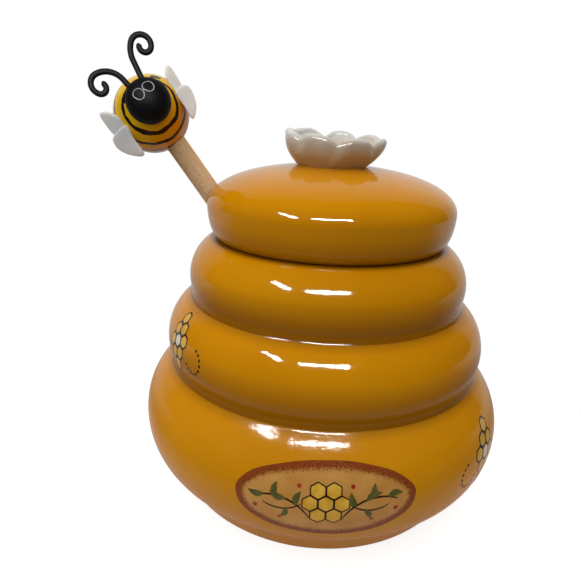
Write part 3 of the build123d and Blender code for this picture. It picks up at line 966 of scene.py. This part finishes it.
def bee_body_mesh(material):
    """Egg turned about the bee's own front axis, flattened where the head is glued on."""
    egg = [(BEE_RADIUS * sin(t), -BEE_HALF_LENGTH * cos(t)) for t in np.linspace(0, pi, 120)]
    profile = [(r, front) for r, front in egg if front <= BEE_FLAT] + [(0.0, BEE_FLAT)]
    mesh = turned(profile[::-1], 128, material, unevenness=0.16, seed=3.0, scale=60.0)
    mesh.transform(frame_matrix(BEE_CENTRE, BEE_RIGHT, STICK_UP, BEE_FRONT))
    return mesh


def bee_head_mesh(material):
    """Wooden ball."""
    profile = [(HEAD_RADIUS * sin(t), HEAD_RADIUS * cos(t)) for t in np.linspace(0, pi, 64)]
    profile[-1] = (0.0, -HEAD_RADIUS)
    mesh = turned(profile, 96, material, unevenness=0.12, seed=8.0, scale=110.0)
    mesh.transform(frame_matrix(HEAD_CENTRE, BEE_RIGHT, STICK_UP, BEE_FRONT))
    return mesh


def antenna_route(side, bearing, stem, curl):
    """Centre line of one antenna, a straight stem and then its bends, as points in millimetres."""
    fine = 0.12
    count = int(stem / fine)
    runs = [(count, stem / count, 0.0)]
    for radius, degrees in curl:
        count = int(radians(degrees) * radius / fine) + 6
        step = radians(degrees) / count
        runs.append((count, radius * step, -side * step))
    angle = radians(bearing)
    x, y = side * 1.7, 4.0
    local = [(x, y)]
    for count, length, bend in runs:
        for _ in range(count):
            x += length * cos(angle + bend / 2)
            y += length * sin(angle + bend / 2)
            angle += bend
            local.append((x, y))
    return [HEAD_CENTRE + BEE_RIGHT * u + STICK_UP * v for u, v in local]


def eye_ring_route(across, upward):
    """Closed ring painted on the head, as points in millimetres."""
    points = []
    for a in np.linspace(0, 2 * pi, 48, endpoint=False):
        radius = EYE_RING * (1 + 0.05 * sin(2 * a + across) + 0.03 * sin(3 * a))
        u = HEAD_RADIUS * sin(radians(across)) + radius * cos(a)
        v = HEAD_RADIUS * sin(radians(upward)) + radius * sin(a)
        w = sqrt(HEAD_RADIUS**2 - u * u - v * v)
        points.append(HEAD_CENTRE + BEE_RIGHT * u + STICK_UP * v + BEE_FRONT * w)
    return points


def closed_curve(points):
    """Smooth closed curve through points."""
    points = np.array(points, float)
    count = len(points)
    curve = []
    for i in range(count):
        p0, p1, p2, p3 = (points[(i + k) % count] for k in (-1, 0, 1, 2))
        for t in np.linspace(0, 1, 14, endpoint=False):
            bend = (2 * p0 - 5 * p1 + 4 * p2 - p3) * t * t
            twist = (3 * p1 - p0 - 3 * p2 + p3) * t**3
            curve.append(0.5 * (2 * p1 + (p2 - p0) * t + bend + twist))
    return np.array(curve)


def wing_mesh(side, outline, level):
    """Thin petal with rounded edges."""
    outward = BEE_RIGHT * side
    root_side = BEE_RADIUS * sqrt(1 - (WING_ROOT / BEE_HALF_LENGTH) ** 2) - 0.35
    root = BEE_CENTRE + outward * root_side + BEE_FRONT * WING_ROOT - STICK_UP * 0.5
    back = outward * cos(WING_SWEEP) - BEE_FRONT * sin(WING_SWEEP)
    facing = outward * sin(WING_SWEEP) + BEE_FRONT * cos(WING_SWEEP)
    up_axis = facing.cross(back)
    curve = closed_curve([(b, side * u) for b, u in outline])
    centre = curve.mean(0)
    count = len(curve)
    rings = [0.0, 0.25, 0.5, 0.7, 0.82, 0.9, 0.95, 0.98, 0.995, 1.0]
    # out over the front face to the edge and in again over the back face
    walk = [(ring, 1) for ring in rings] + [(ring, -1) for ring in rings[-2::-1]]
    points, faces = [], []
    for ring, face_side in walk:
        edge = max(0.0, (ring - 0.8) / 0.2)
        half = sqrt(max(0.0, 1 - edge * edge))
        height = WING_THICKNESS / 2 * (level + face_side * half)
        for p in curve:
            x, y = centre + (p - centre) * ring
            points.append((root + back * float(x) + up_axis * float(y) + facing * height) * MM)
    for k in range(len(walk) - 1):
        faces += band(k * count, (k + 1) * count, count)
    return cleaned(mesh_of("wing", points, faces))


# ---------------------------------------------------------------------------
# Dipper
# ---------------------------------------------------------------------------
def dipper_profile():
    """Stick and grooved head, from the stick's top down to the head's end."""
    points = [(0.0, 0.0)]
    for disc in range(DISC_COUNT):
        last = disc == DISC_COUNT - 1
        flat = DISC_RADIUS_ENDS + DISC_SWELL * sin(pi * disc / (DISC_COUNT - 1)) - DISC_EDGE
        low = disc * (DISC_THICKNESS + DISC_GAP)
        high = low + DISC_THICKNESS
        points += [(CORE_RADIUS, low)] if disc else []
        points += [(flat, low)]
        points += arc_points((flat, low + DISC_EDGE), DISC_EDGE, -pi / 2, 0, 0.3)[1:]
        points += arc_points((flat, high - DISC_EDGE), DISC_EDGE, 0, pi / 2, 0.3)
        points += [(STICK_RADIUS if last else CORE_RADIUS, high)]
    points += [(STICK_RADIUS, high + 1.0), (STICK_RADIUS, DIPPER_LENGTH - 0.3)]
    points += [(STICK_RADIUS - 0.4, DIPPER_LENGTH), (0.0, DIPPER_LENGTH)]
    return points[::-1]


def dipper_mesh(material):
    """Turned dipper, laid along its lean."""
    profile = glaze_profile(dipper_profile(), softness=0.12, tolerance=0.01, longest=6.0)
    mesh = turned(profile, 72, material, unevenness=0.1, seed=5.0, scale=50.0)
    mesh.transform(frame_matrix(DIPPER_END, STICK_ACROSS, Vector((0, 1, 0)), STICK_UP))
    return mesh


# ---------------------------------------------------------------------------
# Decoration laid on the pot
# ---------------------------------------------------------------------------
# where a decoration goes: bulge, azimuth, angle above the bulge's middle, and tilt, in degrees
LABEL = (BELLY, 1.0, 5.75, 1.5)
LABEL_HALF_WIDTH = 23.1
LABEL_HALF_HEIGHT = 10.65

# the label's right-hand sprig in millimetres from its middle, mirrored for the left one:
# stems as (arc's centre, radius, start and end in degrees, points, width of the stroke)
STEMS = (
    ((13.2, -9.2), 10.4, 152, 62, 24, 0.55),
    ((11.4, 6.4), 8.6, 232, 300, 16, 0.45),
)

# leaves as (base, bearing in degrees, length, width)
LEAVES = (
    ((7.4, -0.8), 108, 4.0, 1.7),
    ((9.9, 0.7), 20, 4.4, 1.8),
    ((12.6, 1.2), 96, 3.6, 1.6),
    ((15.4, 1.0), 4, 4.2, 1.7),
    ((9.6, -2.0), -62, 3.2, 1.4),
)

# dots as (centre, radius)
DOTS = (((17.6, -2.6), 0.62), ((6.6, 4.4), 0.55), ((11.4, -4.9), 0.5))

# combs at the sides: name, place, size, and which way their trail turns
SIDE_SPOTS = (
    ("side_comb_left", (MIDDLE, -58.0, 17.0, 12.0), 0.9, 1),
    ("side_comb_right", (BELLY, 54.5, 8.0, -12.0), 1.0, -1),
)


def lay_on_bulge(mesh, surface, bulge, azimuth, level_angle, tilt, lift):
    """Wrap flat decoration, drawn in metres about its centre, onto a bulge of the pot."""
    tilt = radians(tilt)
    core = (bulge[0] - bulge[1]) * MM
    for vertex in mesh.vertices:
        x = vertex.co.x * cos(tilt) - vertex.co.y * sin(tilt)
        y = vertex.co.x * sin(tilt) + vertex.co.y * cos(tilt)
        around = radians(azimuth) + x / (bulge[0] * MM)
        rise_angle = radians(level_angle) + y / (bulge[1] * MM)
        centre = Vector((core * sin(around), -core * cos(around), bulge[2] * MM))
        flat = cos(rise_angle)
        normal = Vector((sin(around) * flat, -cos(around) * flat, sin(rise_angle)))
        above = centre + normal * ((bulge[1] + 4) * MM)
        vertex.co = surface.ray_cast(above, -normal)[0] + normal * lift * MM
    mesh.update()
    return mesh


def thickened(mesh, depth):
    """Turn a sheet's faces outwards from the pot and close it into a shell that sinks into the glaze."""
    work = bmesh.new()
    work.from_mesh(mesh)
    for face in work.faces:
        middle = face.calc_center_median()
        if face.normal.dot(Vector((middle.x, middle.y, 0.0))) < 0:
            face.normal_flip()
    work.to_mesh(mesh)
    work.free()
    carrier = placed("sheet", mesh)
    shell = carrier.modifiers.new("shell", "SOLIDIFY")
    shell.thickness = depth * MM
    shell.offset = -1.0
    return settled(carrier)


def joined(meshes, name):
    """One mesh from several that share a material."""
    points, faces = [], []
    for mesh in meshes:
        start = len(points)
        points += [v.co.copy() for v in mesh.vertices]
        faces += [tuple(start + i for i in p.vertices) for p in mesh.polygons]
    return mesh_of(name, points, faces)


def sheet_of(name, points, faces):
    """Flat mesh from (x, y) points in millimetres."""
    return mesh_of(name, [(x * MM, y * MM, 0.0) for x, y in points], faces)


def label_oval(half_width, half_height):
    """Flat oval, with how far each point lies inside its edge in millimetres."""
    rings, sides = 30, 128
    points, inset = [(0.0, 0.0)], [half_height]
    for ring in range(1, rings + 1):
        share = (ring / rings) ** 0.85
        for k in range(sides):
            a = 2 * pi * k / sides
            out = share * (1 + 0.006 * sin(5 * a + 1.0) + 0.004 * sin(11 * a))
            points.append((half_width * out * cos(a), half_height * out * sin(a)))
            inset.append((1 - share) / hypot(cos(a) / half_width, sin(a) / half_height))
    faces = [(0, 1 + k, 1 + (k + 1) % sides) for k in range(sides)]
    for ring in range(rings - 1):
        faces += band(1 + ring * sides, 1 + (ring + 1) * sides, sides)
    mesh = sheet_of("label", points, faces)
    attribute = mesh.attributes.new("inset", "FLOAT", "POINT")
    attribute.data.foreach_set("value", np.array(inset, np.float32))
    return mesh


def brush_stroke(points, width, taper=0.5):
    """Flat stroke through points, narrowing at both ends."""
    points = np.array(points, float)
    steps = np.r_[0, np.cumsum(np.hypot(*np.diff(points, axis=0).T))]
    count = max(6, int(steps[-1] / 0.35))
    even = np.linspace(0, steps[-1], count)
    x, y = (np.interp(even, steps, points[:, k]) for k in (0, 1))
    dx, dy = np.gradient(x), np.gradient(y)
    length = np.hypot(dx, dy)
    half = width / 2 * (1 - taper * np.abs(2 * even / steps[-1] - 1) ** 3)
    aside_x, aside_y = -dy / length * half, dx / length * half
    edges = np.stack([x - aside_x, y - aside_y, x + aside_x, y + aside_y], 1).reshape(-1, 2)
    faces = [(a, a + 2, a + 3, a + 1) for a in range(0, 2 * count - 2, 2)]
    return sheet_of("stroke", edges, faces)


def leaf(base, bearing, length, width):
    """Flat pointed leaf, a little curved."""
    count = 16
    along = np.array([cos(radians(bearing)), sin(radians(bearing))])
    across = np.array([-along[1], along[0]])
    points = []
    for t in np.linspace(0, 1, count + 1):
        half = width / 2 * sin(pi * t**0.8) ** 0.9 + 0.02
        middle = np.array(base) + along * length * t + across * 0.12 * length * sin(pi * t)
        points += [middle + across * half * side for side in (-1, 0, 1)]
    faces = [(a, a + 3, a + 4, a + 1) for i in range(count) for a in (3 * i, 3 * i + 1)]
    return sheet_of("leaf", points, faces)


def dot(centre, radius):
    """Flat round dot."""
    sides = 20
    points = [centre]
    for share in (0.5, 1.0):
        for k in range(sides):
            a = 2 * pi * k / sides
            out = radius * share * (1 + 0.05 * sin(3 * a))
            points.append((centre[0] + out * cos(a), centre[1] + out * sin(a)))
    faces = [(0, 1 + k, 1 + (k + 1) % sides) for k in range(sides)]
    return sheet_of("dot", points, faces + band(1, 1 + sides, sides))


def arc_line(centre, radius, start, end, count):
    """Points round an arc in a decoration's plane, angles in degrees."""
    angles = [radians(a) for a in np.linspace(start, end, count)]
    return [(centre[0] + radius * cos(a), centre[1] + radius * sin(a)) for a in angles]


def comb(cell_radius, spacing, count, half_width, half_height, material):
    """Flat honeycomb cluster, at most so many cells each way, sizes in millimetres."""
    values = {
        "Cell Radius": cell_radius * MM,
        "Spacing": spacing * MM,
        "Columns": count,
        "Rows": count,
        "Half Width": half_width * MM,
        "Half Height": half_height * MM,
        "Material": material,
    }
    return grow(honeycomb, mesh_of("seed", [(0, 0, 0)]), values)


def decorate(name, meshes, material, place, lift):
    """Lay flat drawings on the pot as one piece of a single colour."""
    flat = joined(meshes, name) if len(meshes) > 1 else meshes[0]
    mesh = thickened(lay_on_bulge(flat, pot_surface, *place, lift), lift + 0.08)
    piece(name, mesh, "pot", (), material, crease=40)


# ---------------------------------------------------------------------------
# Make everything
# ---------------------------------------------------------------------------
turned_ware = turned_ware_tree()
bent_wire = bent_wire_tree()
honeycomb = honeycomb_tree()

pot_glaze = amber_glaze()
flower_glaze = white_glaze()
wood = dipper_wood()
bee_yellow = bee_paint()
head_black = black_paint("bee_head_black", shine=0.07, grain=0.03)
wire_black = black_paint("antenna_black", shine=0.1, grain=0.012)
# one white resin in two copies: painted light makes the left wings' copy lighter, painted shade makes the
# right wings' copy darker and creamier
lit_wing_resin = wing_resin("wing_resin_painted_lit", paint(249, 246, 244), paint(253, 251, 249))
shaded_wing_resin = wing_resin("wing_resin_painted_shade", paint(236, 227, 215), paint(243, 236, 226))
eye_white = ink("eye_ring_white", paint(168, 168, 178), paint(222, 220, 226), scale=700.0)
ink_brown = ink("label_ink_brown", paint(44, 24, 14), paint(62, 36, 20))
leaf_green = ink("label_leaf_green", paint(78, 78, 34), paint(104, 100, 48))
cell_honey = ink("comb_cell_honey", paint(214, 158, 40), paint(232, 184, 72))
cell_cream = ink("comb_cell_cream", paint(224, 212, 190), paint(238, 230, 212))
dot_rust = ink("dot_rust_red", paint(150, 44, 22), paint(176, 66, 38))
label_paint = label_field()

pot_outline = glaze_profile(pot_profile(), softness=0.3)
pot_mesh = turned(pot_outline, 216, pot_glaze, unevenness=0.3, seed=1.0)
pot_faces = [p.vertices[:] for p in pot_mesh.polygons]
pot_surface = BVHTree.FromPolygons([v.co for v in pot_mesh.vertices], pot_faces)
piece("pot_glazed", pot_mesh, "pot", ["pot"])

lid_outline = glaze_profile(lid_profile(), softness=0.3)
lid_mesh = cut_notch(turned(lid_outline, 200, pot_glaze, unevenness=0.3, seed=2.0))
piece("lid_glazed", lid_mesh, "lid", ["lid"], crease=40)
piece("flower_petals", flower_mesh(), "lid", ["flower_knob"], flower_glaze)

piece("dipper_turned", dipper_mesh(wood), "dipper", ["dipper"], crease=50)
piece("bee_egg", bee_body_mesh(bee_yellow), "dipper", ["bee_body"], crease=40)
piece("bee_ball_head", bee_head_mesh(head_black), "dipper", ["bee_head"])

for side_name, antenna in ANTENNAE.items():
    values = {"Wire Radius": ANTENNA_RADIUS * MM, "Sides": 24, "Material": wire_black}
    wire = grow(bent_wire, line_mesh(antenna_route(*antenna)), values)
    piece(f"antenna_wire_{side_name}", wire, "dipper", [f"antenna_{side_name}"])

for side_name, eye in EYES.items():
    values = {"Wire Radius": EYE_LINE * MM, "Sides": 10, "Round Ends": 0.0, "Material": eye_white}
    ring = grow(bent_wire, line_mesh(eye_ring_route(*eye), closed=True), values)
    piece(f"eye_ring_{side_name}", ring, "dipper")

# the left wings take the copy with painted light, the right wings the one with painted shade
for side_name, side, resin in (("left", -1, lit_wing_resin), ("right", 1, shaded_wing_resin)):
    for level_name, level in WING_LEVELS.items():
        wing = wing_mesh(side, WINGS[f"{level_name}_{side_name}"], level)
        node_name = f"wing_{level_name}_{side_name}"
        piece(f"{node_name}_petal", wing, "dipper", [node_name], resin)

oval = label_oval(LABEL_HALF_WIDTH, LABEL_HALF_HEIGHT)
decorate("label_oval", [oval], label_paint, LABEL, 0.03)
decorate("label_comb_outline", [comb(2.35, 3.9, 3, 4.6, 4.6, ink_brown)], ink_brown, LABEL, 0.05)
decorate("label_comb_cells", [comb(1.95, 3.9, 3, 4.6, 4.6, cell_honey)], cell_honey, LABEL, 0.07)
strokes, leaves, dots = [], [], []
for way in (1, -1):
    for *arc, width in STEMS:
        strokes.append(brush_stroke([(way * x, y) for x, y in arc_line(*arc)], width))
    for (x, y), bearing, length, width in LEAVES:
        leaves.append(leaf((way * x, y), bearing if way > 0 else 180 - bearing, length, width))
    dots += [dot((way * x, y), radius) for (x, y), radius in DOTS]
decorate("label_stems", strokes, ink_brown, LABEL, 0.05)
decorate("label_leaves", leaves, leaf_green, LABEL, 0.06)
decorate("label_dots", dots, dot_rust, LABEL, 0.06)

for spot_name, spot, scale, way in SIDE_SPOTS:
    reach = (6.0 * scale, 7.6 * scale)
    for layer, radius, count, (wide, tall), colour, lift in (
        ("outline", 2.65, 5, reach, ink_brown, 0.03),
        ("cells", 1.95, 5, reach, cell_honey, 0.05),
        ("pale", 1.95, 3, (1.0, 1.0), cell_cream, 0.07),
    ):
        cells = comb(radius * scale, 4.3 * scale, count, wide, tall, colour)
        decorate(f"{spot_name}_{layer}", [cells], colour, spot, lift)
    dashes = []
    for start in range(0, 250, 25):
        first, last = (190 + start, 204 + start) if way > 0 else (-10 - start, -24 - start)
        dashes.append(brush_stroke(arc_line((way * 9.4, -4.6), 3.5, first, last, 6), 0.75, 0.2))
    decorate(f"{spot_name}_trail", dashes, ink_brown, spot, 0.04)


# ---------------------------------------------------------------------------
# Studio
# ---------------------------------------------------------------------------
LAMP_AIM = Vector((0.0, 0.0, 0.06))


def seen_ray(tree, straight, off_gloss, otherwise=0.0):
    """How bright a backdrop looks straight or through glass, off gloss, and as light on the object."""
    path = node(tree, "ShaderNodeLightPath").outputs
    direct = calc(tree, "MAXIMUM", path["Is Camera Ray"], path["Is Transmission Ray"])
    shine = calc(tree, "MULTIPLY", path["Is Glossy Ray"], off_gloss)
    seen = calc(tree, "MULTIPLY_ADD", direct, straight, shine)
    neither = calc(tree, "SUBTRACT", 1.0, calc(tree, "MAXIMUM", direct, path["Is Glossy Ray"]))
    return calc(tree, "MULTIPLY_ADD", neither, otherwise, seen)


def colour_of(tree, red, green, blue):
    """Colour from three values."""
    return node(tree, "ShaderNodeCombineColor", {"Red": red, "Green": green, "Blue": blue}).outputs[0]


def studio_floor():
    """Pale table, white to the eye, that keeps the pot's shadow and throws a little light on its foot."""
    material = bpy.data.materials.new("pale_table")
    material.use_nodes = True
    tree = material.node_tree
    tree.nodes.clear()
    place = node(tree, "ShaderNodeTexCoord").outputs["Object"]
    away = vector_calc(tree, "LENGTH", place, output=1)
    # 1 under the pot and close round it, 0 from 115 mm out
    near = rise(tree, 0.115, away, 0.045)
    tone = calc(tree, "MULTIPLY_ADD", near, 0.43, 0.07)
    cloth = node(tree, "ShaderNodeBsdfDiffuse", {"Color": colour_of(tree, tone, tone, tone)}).outputs[0]
    backward = node(tree, "ShaderNodeSeparateXYZ", {0: place}).outputs["Y"]
    further_back = calc(tree, "MULTIPLY", rise(tree, backward, 0.0, 0.12), calc(tree, "SUBTRACT", 1.0, near))
    off_gloss = calc(tree, "MULTIPLY_ADD", further_back, 0.42, 0.05)
    shown = calc(tree, "MULTIPLY_ADD", near, -0.15, 0.935)
    # painted reflection: a honey-coloured glow on the table round the foot, seen only in the glaze's gloss,
    # stands in for the light that the glaze throws there
    painted_amber_reflection = (0.17, 0.02, -0.03)
    light = [seen_ray(tree, shown, calc(tree, "MULTIPLY_ADD", near, share, off_gloss)) for share in painted_amber_reflection]
    glow = node(tree, "ShaderNodeEmission", {"Color": colour_of(tree, *light)}).outputs[0]
    both = node(tree, "ShaderNodeAddShader", {0: cloth, 1: glow}).outputs[0]
    node(tree, "ShaderNodeOutputMaterial", {"Surface": both})
    half = 1.6
    corners = [(-half, -half, 0), (half, -half, 0), (half, half, 0), (-half, half, 0)]
    mesh = mesh_of("table", corners, [(0, 1, 2, 3)])
    mesh.materials.append(material)
    table = placed("table", mesh)


def studio_world():
    """White surroundings, brighter from the left; in the gloss a pale wall behind and dark elsewhere."""
    world = bpy.data.worlds.new("studio")
    bpy.context.scene.world = world
    world.use_nodes = True
    tree = world.node_tree
    tree.nodes.clear()
    direction = node(tree, "ShaderNodeTexCoord").outputs["Generated"]
    behind, sideways, overhead = (
        vector_calc(tree, "DOT_PRODUCT", direction, axis, output=1)
        for axis in ((-0.08, 0.98, -0.2), (1.0, 0.0, 0.0), (0.0, 0.0, 1.0))
    )
    behind = calc(tree, "MULTIPLY_ADD", calc(tree, "ABSOLUTE", sideways), -0.5, behind)
    edge = rise(tree, behind, -0.04, 0.08)
    deeper = rise(tree, behind, 0.0, 0.5)
    wall = calc(tree, "MULTIPLY_ADD", deeper, 0.38, calc(tree, "MULTIPLY_ADD", edge, 0.27, 0.04))
    overhead = calc(tree, "MAXIMUM", overhead, 0.0)
    sky = calc(tree, "MULTIPLY_ADD", sideways, -0.4, calc(tree, "MULTIPLY_ADD", overhead, 0.85, 0.5))
    look = {"Color": (1.0, 1.0, 1.0, 1.0), "Strength": seen_ray(tree, 1.0, wall, sky)}
    back = node(tree, "ShaderNodeBackground", look).outputs[0]
    node(tree, "ShaderNodeOutputWorld", {"Surface": back})


def strip_light(name, first, second, thickness, power):
    """Long thin lamp from one point to another, facing the pot, that shows in its gloss alone."""
    first, second = Vector(first), Vector(second)
    lamp = bpy.data.lights.new(name, "AREA")
    lamp.shape = "RECTANGLE"
    lamp.size = (second - first).length
    lamp.size_y = thickness
    lamp.energy = power
    middle = (first + second) / 2
    long_axis = (second - first).normalized()
    back = (middle - LAMP_AIM).normalized()
    back = (back - long_axis * back.dot(long_axis)).normalized()
    turn = Matrix((long_axis, back.cross(long_axis), back)).transposed().to_4x4()
    made = placed(name, lamp)
    made.matrix_world = Matrix.Translation(middle) @ turn
    made.visible_diffuse = False
    made.visible_camera = False


def studio_camera():
    """Camera a little above the lid, close in front."""
    camera = bpy.data.cameras.new("camera")
    camera.sensor_width = 36.0
    camera.lens = 36.0 * 500 / 580
    camera.clip_start = 0.005
    yaw, pitch, roll = -0.02895, 0.32223, 0.04057
    forward = Vector((sin(yaw) * cos(pitch), cos(yaw) * cos(pitch), -sin(pitch)))
    right = Vector((cos(yaw), -sin(yaw), 0.0))
    up = right.cross(forward)
    rolled_right = right * cos(roll) + up * sin(roll)
    rolled_up = up * cos(roll) - right * sin(roll)
    made = placed("camera", camera)
    eye = Vector((-6.86862, -155.36955, 112.10902))
    made.matrix_world = frame_matrix(eye, rolled_right, rolled_up, -forward)
    bpy.context.scene.camera = made


studio_floor()
studio_world()
strip_light("front_strip", (-0.050, -0.165, 0.190), (0.051, -0.162, 0.188), thickness=0.018, power=0.6)
strip_light("left_strip", (-0.123, -0.106, 0.216), (-0.071, -0.130, 0.161), thickness=0.015, power=0.3)
studio_camera()
bpy.context.scene.view_settings.view_transform = "Standard"
